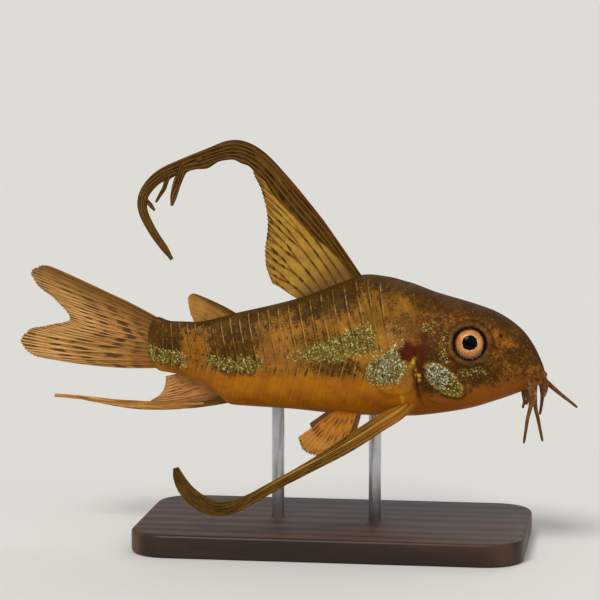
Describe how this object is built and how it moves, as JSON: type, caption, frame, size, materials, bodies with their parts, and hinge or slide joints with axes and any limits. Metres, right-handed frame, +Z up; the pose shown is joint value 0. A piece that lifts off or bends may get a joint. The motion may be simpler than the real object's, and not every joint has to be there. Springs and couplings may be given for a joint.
{
  "type": "long-finned peppered corydoras catfish, still life-size display model",
  "caption": "Small armoured catfish with overlapping flank plates, mouth barbels and long trailing fin streamers, held level over a flat base by short rods.",
  "frame": {"origin": "middle of the stand's underside, at floor level", "axes": "+X towards the head, +Y to the fish's left, +Z up"},
  "size_m": [0.0735, 0.0291, 0.0518],
  "materials": {
    "skin": "wet, olive-brown plated skin with dark green-grey blotches and an amber belly",
    "fin": "thin translucent brown fin skin over ridged rays with dark dashes",
    "eye": "wet copper iris round a black pupil under a clear cornea",
    "barbel": "soft grey-brown feelers with pale highlights",
    "stand_wood": "dark satin wood with a fine grain",
    "stand_steel": "brushed along the rod"
  },
  "bodies": {
    "root": {"head": "skin", "torso": "skin", "tail_stem": "skin", "eye_right": "eye", "pelvic_fin_right": "fin", "eye_left": "eye", "pelvic_fin_left": "fin", "dorsal_fin": "fin", "dorsal_streamer": "fin", "dorsal_streamer_tip": "fin", "adipose_fin": "fin", "caudal_fin": "fin", "anal_fin": "fin", "anal_thread": "fin", "pectoral_fin_right": "fin", "pectoral_streamer_right": "fin", "pectoral_fin_left": "fin", "pectoral_streamer_left": "fin", "barbel_right_rear": "barbel", "barbel_right_front": "barbel", "barbel_left_rear": "barbel", "barbel_left_front": "barbel", "barbel_chin_right": "barbel", "barbel_chin_left": "barbel", "stand_base": "stand_wood", "stand_rod_front": "stand_steel", "stand_rod_rear": "stand_steel"}
  },
  "joints": []
}
